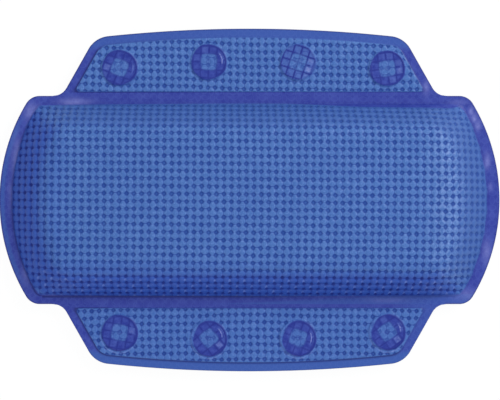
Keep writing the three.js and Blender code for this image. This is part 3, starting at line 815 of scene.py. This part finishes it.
def cup_imprint(x, y, centre, marks):
    """What one cup does to the film over it: how far the film rises, where it clings, where its ribs press
    through, where air lies under it, with a painted highlight in an arc inside the rim and a pale halo round
    its foot, and how much of the weave is left. The ribs are turned by the cup's own angle. In the middle
    the film lies loose and keeps its weave."""
    turn, clear, (catch, catch_width, strength), squares = marks
    loose = clear == 1
    dx, dy = x - centre[0], y - centre[1]
    r = np.hypot(dx, dy)
    angle = np.arctan2(dy, dx)
    c, s = np.cos(np.radians(turn)), np.sin(np.radians(turn))
    a = dx * c + dy * s
    b = dy * c - dx * s
    to_rib = rib_distance(a, b)
    wander = 0.25 * np.sin(3 * angle + centre[0]) + 0.15 * np.sin(5 * angle - centre[0])
    sag = 0.55 if centre[1] < 0 else 0.1
    lean = 1.7 * (centre[1] < 0 and centre[0] > -60) * np.maximum(-np.cos(angle), 0)
    drawn = np.hypot(dx, dy + sag) - sag + lean
    on_disc = smooth(flange_radius + 0.3, flange_radius - 0.5, drawn + wander)
    middle = smooth(6.0, 4.4, (np.abs(a) ** 4 + np.abs(b) ** 4) ** 0.25)
    from_catch = np.abs((np.degrees(angle) - catch + 180) % 360 - 180)
    toward = smooth(catch_width, 0.4 * catch_width, from_catch)
    lit_side = 0.5 + 0.5 * np.cos(angle - np.radians(20))
    rib = clear * smooth(0.7, 0.25, to_rib) * on_disc * (1 - (0.5 if loose else 0.9) * middle)
    rib *= 1 - toward * smooth(7.5, 9.0, r)
    ring = smooth(1.1, 0.3, np.abs(drawn - flange_radius + 0.8)) * (0.2 + 0.75 * lit_side)
    ring *= 0.4 if loose else 1
    dent = smooth(0.9, 0.2, np.abs(r - 9.6)) * toward
    rise = 1.1 * smooth(blister_foot, flange_radius + 0.1, r) - 0.30 * smooth(10.8, 3.0, r)
    rise += 0.14 * smooth(0.7, 0.0, np.abs(r - flange_radius + 0.5)) + 0.10 * rib - 0.12 * dent
    air_and_glint = np.zeros_like(r)
    inside_square = smooth(0.4, 1.1, to_rib) * smooth(10.9, 10.2, r)
    for column, row, pale in squares:
        here = (np.floor(a / rib_pitch) == column) & (np.floor(b / rib_pitch) == row)
        air_and_glint = np.maximum(air_and_glint, pale * here * inside_square)
    # Painted highlight: a pale arc inside the rim, where the light catches the film, laid in with the air
    # squares.
    arc = smooth(0.5, 0.15, np.abs(r - 8.6)) + 0.6 * smooth(0.3, 0.05, np.abs(r - 9.9))
    air_and_glint = np.maximum(air_and_glint, strength * toward * np.clip(arc, 0, 1))
    halo = smooth(0.6, 0.1, np.abs(np.hypot(dx + 0.3, dy + 2 * sag) + 0.6 * lean - flange_radius - 0.9))
    air_and_glint = np.maximum(air_and_glint, (0.3 + 0.6 * sag) * halo * (0.5 + 0.5 * np.cos(angle + np.radians(110))))
    bond = np.maximum(on_disc * (1 - 0.85 * middle) * (0.45 if loose else 0.9), 0.9 * dent)
    gate = (0.3 + 0.4 * sag) * smooth(0.55, 0.15, np.abs(r - 1.3))
    rib = np.maximum.reduce([rib * (1 - air_and_glint), ring, gate])
    left = 1 - smooth(blister_foot + 0.3, blister_foot - 0.6, r) * (1 - 0.22 * middle * on_disc)
    return rise, bond, rib, air_and_glint, left


def at_level(flat, level):
    """Points of a plane lifted to a level."""
    return np.append(flat.reshape(-1, 2), np.full((flat.size // 2, 1), level), 1)


seat_gap = 0.3
seat_ceiling = 9.3
seat_steps = 48
front_steps = (400, 64)
front_shares = np.array([0.05, 0.12, 0.22, 0.34, 0.46, 0.58, 0.7, 0.82, 0.925, 0.958, 0.983, 1.0])


def flap_film(side, name, body):
    """The front film of one flap. It is worked out as the upper one; the lower is turned half round."""
    upper = side > 0
    panel_sides = flap_sides(panel_border, *front_steps)
    patch = filled_sides(panel_sides)
    index = numbered(patch.shape[:2])
    panel_loop = loop_of(panel_sides)
    rings = ring_loops(panel_loop, loop_of(flap_sides(0, *front_steps)), front_shares)
    flat = np.concatenate([patch.reshape(-1, 2), rings.reshape(-1, 2)])
    out = np.concatenate([np.zeros(index.size), np.repeat(front_shares, len(panel_loop))])
    free = np.tile(free_steps(*front_steps, 12.8), len(front_shares))
    free = np.concatenate([np.ones(index.size), free])
    flat_x, flat_y = flat.T
    x, y = side * flat_x, side * flat_y
    crown_gap = np.hypot(flat_x, flat_y - crown_centre[1]) - crown_radius + panel_border
    slant = (np.abs(flat_x) - root_half_length) * side_normal[0] + (flat_y - ear_line) * side_normal[1]
    into_panel = -np.maximum.reduce([crown_gap, slant + panel_border, panel_root - flat_y])
    drift = 0.10 * np.sin(x * 0.031 + side) + 0.08 * np.sin(x * 0.075 + 2 * side)
    u = (x - flap_phase[side][0]) / flap_pitch[0] + 0.05 * np.sin(y * 0.21)
    v = (y - flap_phase[side][1]) / flap_pitch[1] + drift - np.interp(x, slip_places, row_slip[side])
    weave_left = (out == 0) * smooth(-0.1, 0.4, into_panel)
    marks = np.zeros((3, len(flat)))
    height = sheet_plane + front_thickness + panel_relief * smooth(0.12, 0.0, out)
    height += (out > 0.12) * free * smooth(0.12, 0.4, out) * 0.6 * border_ripple(x, y)
    height -= free * rounded_edge((1 - out) * panel_border, front_round)
    for place_x, place_y, cup in zip(cup_x, cup_y, cup_marks[side]):
        rise, *pressed, left = cup_imprint(x, y, (place_x, side * place_y), cup)
        height += rise
        marks = np.maximum(marks, pressed)
        weave_left *= left
    height += weave_left * relief(u, v)
    top = np.stack([x, y, height], axis=-1)
    loops = np.concatenate([grid_ring(index)[None], numbered(rings.shape[:2], index.size)])
    smooth_faces = np.concatenate([grid_quads(index), strips(loops)]).tolist()
    below = np.concatenate([panel_loop[None], rings])
    below_ids = numbered(below.shape[:2], len(top))
    seats = cup_circles(side, flange_radius + seat_gap, seat_steps)
    seat_ids = numbered((len(seats), 2, seat_steps), len(top) + below_ids.size)
    under = [at_level(side * below, sheet_plane)]
    under += [at_level(side * seat, level) for seat in seats for level in (sheet_plane, seat_ceiling)]
    flat_faces = [strips(below_ids)[:, ::-1], loop_quads(below_ids[-1], loops[-1])[:, ::-1]]
    flat_faces += [loop_quads(low, high) for low, high in seat_ids]
    flat_faces.append(fill_with_holes(panel_loop, below_ids[0], seats, seat_ids[:, 0])[:, ::-1])
    faces = smooth_faces + [face for part in flat_faces for face in part.tolist()]
    faces += seat_ids[:, 1, ::-1].tolist()
    # Painted shade: a dark line along the free edge, stronger on the upper flap, and along the panel's
    # edges, most where they fall away from the lamp.
    on_edge = smooth(0.86, 0.96, out) * free * (1.0 if upper else 0.25)
    on_crown = smooth(-3.5, 1.0, crown_gap)
    if upper:
        pale = 0.8 * on_crown
        shaded = (0.3 + 0.55 * smooth(20, -100, x)) * (1 - 0.75 * on_crown)
    else:
        pale = np.maximum(0.95 * on_crown, 0.45 * smooth(90, 110, x))
        shaded = 0.3 + 0.5 * np.maximum(on_crown, x < -90)
    masks = {
        "cell_u": u,
        "cell_v": v,
        "weave": weave_left,
        "weld": smooth(0.0, 0.12, out),
        # A little of the painted deep shade on the lower flap.
        "steep": np.full(len(flat), 0.0 if upper else 0.16),
        "pale": (out > 0) * pale,
        "haze": glare_share(x, y),
        **dict(zip(("bond", "rib", "air_and_glint"), marks)),
        # Painted shade along the edges.
        "crease": np.maximum(0.6 * on_edge, shaded * smooth(0.0, 0.06, out) * smooth(0.3, 0.08, out)),
    }
    skin = mesh_piece(name, np.concatenate([top, *under]), faces, len(smooth_faces), masks, front_vinyl)
    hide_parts(body + "_front_film")
    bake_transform(skin)


flap_film(1, "upper_flap_front_skin", "upper_flap")
flap_film(-1, "lower_flap_front_skin", "lower_flap")

# Back film under the cushion
# A second sheet of plain smooth vinyl, a little thinner. The foam pushes it out to a shallow flat pad
# that the pillow lies on, and its border is welded to the front film's.

back_thickness = 0.5
back_fall = 7.5
back_climbs = ((15.0, 2.2), (18.0, 2.2))
back_round = 0.4


def back_rise(x, y, inset=0.0):
    """Depth of the filled back below the sheet: the full depth times the share at that place."""
    return back_fall * filling(x, y, inset, back_climbs)


def plain_vinyl():
    """Smooth blue film with a fine satin grain, long soft flow marks, darker welds, and painted shade in its
    grooves and along edges.
    """
    made = Recipe("plain_vinyl")
    colour = made.lay((44, 78, 160), (54, 92, 172), made.ramp(made.noise(30, 3), 0.3, 0.7))
    flow = made.ramp(made.noise(120, 4, 0.6, (0.25, 1, 1)), 0.45, 0.7)
    colour = made.lay(colour, (38, 66, 150), flow, 0.3)
    colour = made.lay(colour, (36, 56, 150), made.mask("weld"))
    colour = made.lay(colour, (24, 38, 120), made.mask("crease"))
    rough = made.ramp(made.noise(180, 3, 0.6), 0.3, 0.7, 0.34, 0.5)
    shape = made.bump(made.noise(2200, 2, 0.6), 0.00003, 0.6)
    shape = made.bump(made.noise(90, 2, 0.5), 0.0003, 0.4, shape)
    return made.ended(colour, rough, shape, {"IOR": 1.5})


def pleats(x, y):
    """Shallow pleats of the back film where it turns up to the seam: waves along the seam whose
    strength is greatest half way up the slope and dies out at both its ends."""
    near = seam_distance(x, y)[0]
    waves = np.sin(0.42 * x + 1.3 * np.sin(0.09 * x)) * np.sin(0.5 * y + 1.1 * np.sin(0.13 * y) + 0.7)
    return 0.16 * waves * smooth(0.5, 4.0, near) * smooth(13.0, 6.0, near)


back_vinyl = plain_vinyl()
x, y = sheet_grid(np.linspace(-1, 1, 151) * pocket_width, np.linspace(-1, 1, 331) * pocket_length)
far = seam_distance(x, y)[1]
height = sheet_plane - back_thickness - back_rise(x, y) + pleats(x, y)
height += free_share(x, y) * rounded_edge(edge_distance(x, y), back_round)
height += 0.12 * smooth(0.4, 0.1, np.abs(far - groove_place))
outer = np.stack([x, y, height], axis=-1)
shell = film_shell(outer, lambda a, b: sheet_plane - back_rise(a, b, back_thickness), 5, False)
# Painted shade along the groove beside the seam.
masks = {"weld": smooth(0.0, 0.6, far), "crease": 0.7 * smooth(0.4, 0.1, np.abs(far - 0.4))}
back_skin = mesh_piece("cushion_back_skin", *shell, masks, back_vinyl)
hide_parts("cushion_back_cover")
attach(back_skin, "cushion")

# Back films of the flaps
# The same plain film carries on behind each flap. A round hole lets the neck of each cup through, its
# rim is pressed flat, and the edge of the cup's flange shows as a ring in the film.

hole_radius = 5.05
back_steps = (150, 26)
disc_radii = np.array([hole_radius, 5.3, 5.7, 6.2, 6.8, 7.6, 8.6, 9.6, 10.4, 10.9, 11.3, 11.7, 12.2, 12.8])
back_shares = np.array([0.08, 0.2, 0.32, 0.44, 0.56, 0.68, 0.8, 0.93, 0.97, 1.0])


def flap_back(side, name, body):
    """The back film of one flap: two faces of one outline, with a formed ring round each hole."""
    panel_loop, edge_loop = [loop_of(flap_sides(border, *back_steps)) for border in (panel_border, 0)]
    rings = np.concatenate([panel_loop[None], ring_loops(panel_loop, edge_loop, back_shares)])
    out = np.concatenate([[0.0], back_shares])
    formed = 0.22 * smooth(6.4, 5.6, disc_radii) + 0.3 * smooth(1.3, 0.0, np.abs(disc_radii - flange_radius))
    discs = np.stack([cup_circles(side, radius, 64) for radius in disc_radii], axis=1)
    fall = rounded_edge((1 - out) * panel_border, back_round)[:, None] * free_steps(*back_steps, 5)
    # Painted shade along the panel's edge and round the flattened rim of each hole.
    on_sheet = {"weld": smooth(0.0, 0.2, out), "crease": 0.5 * smooth(0.1, 0.02, np.abs(out - 0.1))}
    rim_line = 0.6 * smooth(0.7, 0.1, np.abs(disc_radii - 6.4))
    on_disc = {"weld": smooth(7.0, 6.2, disc_radii), "crease": rim_line}
    blocks, faces = [], []
    masks = {"weld": [], "crease": []}

    def add_loops(loops, height, shares):
        """Adds loops of points, each with its height and its masks, and returns their numbers."""
        start = sum(len(block) for block in blocks)
        height = np.broadcast_to(height, loops.shape[:2])[..., None]
        blocks.append(np.concatenate([side * loops, height], axis=-1).reshape(-1, 3))
        for key, share in shares.items():
            masks[key].append(np.repeat(share, loops.shape[1]))
        return numbered(loops.shape[:2], start)

    ids = []
    for level, outer_face in ((sheet_plane, False), (sheet_plane - back_thickness, True)):
        sheet_ids = add_loops(rings, level + outer_face * fall, on_sheet)
        disc_ids = [add_loops(disc, (level - outer_face * formed)[:, None], on_disc) for disc in discs]
        parts = [strips(loops) for loops in (sheet_ids, *disc_ids)]
        holes = [disc[-1] for disc in discs]
        parts.append(fill_with_holes(panel_loop, sheet_ids[0], holes, [loops[-1] for loops in disc_ids]))
        turned = -1 if outer_face else 1
        faces.append([face[::turned] for part in parts for face in part.tolist()])
        ids.append((sheet_ids[-1], [loops[0] for loops in disc_ids]))
    (high_edge, high_holes), (low_edge, low_holes) = ids
    walls = [loop_quads(low_edge, high_edge)[:, ::-1]]
    walls += [loop_quads(low, high) for low, high in zip(low_holes, high_holes)]
    every_face = faces[1] + np.concatenate(walls).tolist() + faces[0]
    masks = {key: np.concatenate(parts) for key, parts in masks.items()}
    skin = mesh_piece(name, np.concatenate(blocks), every_face, len(faces[1]), masks, back_vinyl)
    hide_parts(body + "_back_film")
    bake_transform(skin)


flap_back(1, "upper_flap_back_skin", "upper_flap")
flap_back(-1, "lower_flap_back_skin", "lower_flap")

# Suction cups
# Eight mouldings of clear, softer blue vinyl. A hollow bell with a thin lip stands on the wall, a neck
# goes through the hole in the back film, and a wide thin flange with crossing ribs lies between the films.

rib_height = 0.4


def curve(start, pull, end, count):
    """A smooth curve from start to end that leaves and arrives towards the pull point."""
    t = np.linspace(0, 1, count)[:, None]
    return (1 - t) ** 2 * np.array(start) + 2 * t * (1 - t) * np.array(pull) + t**2 * np.array(end)


def cup_vinyl():
    """Clear soft vinyl: blue and a little cloudy, with a smooth gloss and fine turning marks."""
    made = Recipe("cup_vinyl")
    colour = made.lay((58, 92, 184), (76, 112, 200), made.ramp(made.noise(260, 3), 0.3, 0.7))
    rough = made.ramp(made.noise(500, 3), 0.3, 0.7, 0.17, 0.25)
    shape = made.bump(made.noise(900, 2), 0.00004, 0.4)
    others = {"IOR": 1.48, "Transmission Weight": 0.22, "Specular IOR Level": 0.3}
    return made.ended(colour, rough, shape, others)


# The profile of a cup as distance from its axis and height: from the top of the hollow over the lip,
# up the outside and the neck, and over the flange to its middle.
cup_material = cup_vinyl()
bell_inside = curve((0, 3.9), (8.475, 3.9), (12.2, 0.0), 22)
bell_x = bell_inside[:, 0].copy()
bell_inside[:, 1] += 0.10 * np.sin(bell_x * 2.1) * smooth(2, 4, bell_x) * smooth(11, 9, bell_x)
lip = [(12.35, 0.0), (12.85, 0.0), (13.0, 0.15), (13.0, 0.38), (12.9, 0.52)]
bell_outside = curve((12.7, 0.6), (6.9, 5.1), (4.75, 6.3), 20)
neck = [(4.75, 6.6), (4.75, 8.0), (4.9, 8.15)]
flange = [(6.5, 8.15), (9.0, 8.15), (10.9, 8.15), (11.15, 8.22)]
flange += [(11.25, 8.35), (11.25, 8.65), (11.15, 8.78), (10.9, 8.85)]
flange_top = np.stack([np.linspace(10.6, 0, 30), np.full(30, 8.85)], axis=-1)
profile = np.concatenate([bell_inside, lip, bell_outside, neck, flange, flange_top])


def suction_cup(side, number):
    """One cup: its profile carried round its axis, closed at both poles, with ribs raised on the flange."""
    flap_name = "upper" if side > 0 else "lower"
    ring = profile[1:-1]
    angle = once_round(72)
    x, y = ring[:, :1] * np.cos(angle), ring[:, :1] * np.sin(angle)
    on_top = np.arange(len(ring))[:, None] >= len(ring) + 1 - len(flange_top)
    z = ring[:, 1:] + on_top * rib_height * smooth(0.5, 0.28, rib_distance(x, y))
    turn = np.radians(cup_marks[side][number][0])
    place = (cup_x[number], side * cup_y[number])
    turned_x = place[0] + x * np.cos(turn) - y * np.sin(turn)
    turned_y = place[1] + x * np.sin(turn) + y * np.cos(turn)
    points = np.stack([turned_x, turned_y, z], axis=-1).reshape(-1, 3)
    poles = [[*place, profile[0, 1]], [*place, profile[-1, 1] + rib_height]]
    ids = numbered(x.shape)
    caps = [[len(points), b, a] for a, b in zip(ids[0].tolist(), np.roll(ids[0], -1).tolist())]
    caps += [[len(points) + 1, a, b] for a, b in zip(ids[-1].tolist(), np.roll(ids[-1], -1).tolist())]
    faces = strips(ids).tolist() + caps
    name = f"cup_{flap_name}_{number + 1}"
    cup = mesh_piece(name, np.concatenate([points, poles]), faces, len(faces), {}, cup_material)
    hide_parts(f"suction_cup_{flap_name}_{number + 1}")
    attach(cup, flap_name + "_flap")


for flap_sign in (1, -1):
    for cup_number in range(4):
        suction_cup(flap_sign, cup_number)

# Foam core
# A soft block of pale foam, cut a little short of the seams, that gives the cushion its rise. The
# films hold it on all sides, so it is seen only where the pillow is cut open.

foam_gap = 0.45
foam_short = 3.4


def foam_material():
    """Pale soft foam: fine open cells, matt, with slightly yellowed patches."""
    made = Recipe("soft_foam")
    colour = made.lay((236, 230, 212), (226, 214, 184), made.ramp(made.noise(40, 3), 0.35, 0.7))
    cells = made.node("ShaderNodeTexVoronoi", {"Vector": made.place, "Scale": 900.0}).outputs["Distance"]
    colour = made.lay(colour, (196, 184, 152), made.ramp(cells, 0.5, 0.1, 0, 0.35))
    return made.ended(colour, 0.92, made.bump(cells, 0.0003, 0.7), {})


share_y, share_x = [np.sin(np.linspace(-1, 1, count) * np.pi / 2) for count in (61, 121)]
y = np.repeat((share_y * (pocket_width - foam_short))[:, None], len(share_x), axis=1)
x = half_length(y, pocket_ends, foam_short) * share_x
clearance = front_thickness + foam_gap
top = np.stack([x, y, sheet_plane + front_rise(x, y, clearance) - foam_gap], axis=-1)
shell = film_shell(top, lambda a, b: sheet_plane - back_rise(a, b, clearance) + foam_gap, 1, True)
foam = mesh_piece("foam_block", *shell, {}, foam_material())
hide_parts("foam_core")
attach(foam, "cushion")

# Floor, light and camera
# A plain white floor, a large soft lamp up on the right, a small weak one low on the near side that
# lifts the shade of the near wall, a white room, and a camera straight above.

floor_mesh = bpy.data.meshes.new("floor")
floor_corners = [(-2, -2, -0.0003), (2, -2, -0.0003), (2, 2, -0.0003), (-2, 2, -0.0003)]
floor_mesh.from_pydata(floor_corners, [], [(0, 1, 2, 3)])
floor = placed("floor", floor_mesh)
paper = bpy.data.materials.new("white_floor")
paper.use_nodes = True
world = bpy.data.worlds.new("white_room")
bpy.context.scene.world = world
world.use_nodes = True


def white_when_seen(made, kind, lit, share):
    """Ends a floor's or a room's nodes: white by a share where it is looked at, straight, in a gloss or
    through clear vinyl, and for all other light the shader that is handed in."""
    path = made.node("ShaderNodeLightPath").outputs
    seen = path["Is Camera Ray"]
    for ray in ("Is Glossy Ray", "Is Transmission Ray"):
        seen = made.math("MAXIMUM", seen, path[ray])
    white = made.node(kind, {"Color": (1, 1, 1, 1), "Strength": 1.08}).outputs[0]
    both = {0: made.times(seen, share), 1: lit.outputs[0], 2: white}
    return made.node("ShaderNodeMixShader", both).outputs[0]


ground = Nodes(paper.node_tree)
ground.tree.nodes.clear()
matt = ground.node("ShaderNodeBsdfDiffuse", {"Color": (0.5, 0.5, 0.5, 1)})
seen_floor = white_when_seen(ground, "ShaderNodeEmission", matt, 0.88)
ground.node("ShaderNodeOutputMaterial", {"Surface": seen_floor})
floor_mesh.materials.append(paper)

air = Nodes(world.node_tree)
room = air.tree.nodes["Background"]
direction = air.node("ShaderNodeTexCoord").outputs["Generated"]
overhead = air.node("ShaderNodeSeparateXYZ", {0: direction}).outputs["Z"]
values = {"Value": overhead, "From Min": 0.1, "From Max": 0.95, "To Min": 0.36, "To Max": 0.95}
strength = air.node("ShaderNodeMapRange", values, interpolation_type="SMOOTHSTEP").outputs[0]
air.fill(room, {"Color": (0.93, 0.95, 1.0, 1), "Strength": strength})
seen_room = white_when_seen(air, "ShaderNodeBackground", room, 1.0)
air.fill(air.tree.nodes["World Output"], {"Surface": seen_room})


def lamp(name, place, size, power, tint=(1, 1, 1)):
    """A square soft lamp that faces the middle of the pillow."""
    light = bpy.data.lights.new(name, "AREA")
    light.shape = "SQUARE"
    light.size = size
    light.energy = power
    light.color = tint
    held = placed(name, light)
    held.location = place
    held.rotation_mode = "QUATERNION"
    held.rotation_quaternion = (-Vector(place)).to_track_quat("-Z", "Y")


lamp("key", (0.9, 0.7, 0.9), 0.6, 10.5, (1.0, 1.0, 0.94))
lamp("low", (-0.2, -1.2, 0.3), 0.4, 1.2)

camera = bpy.data.cameras.new("camera")
camera.lens = 103.5
camera.sensor_width = 36
held_camera = placed("camera", camera)
held_camera.location = (0.00032, 0, 0.928)
bpy.context.scene.camera = held_camera
bpy.context.scene.view_settings.view_transform = "Standard"
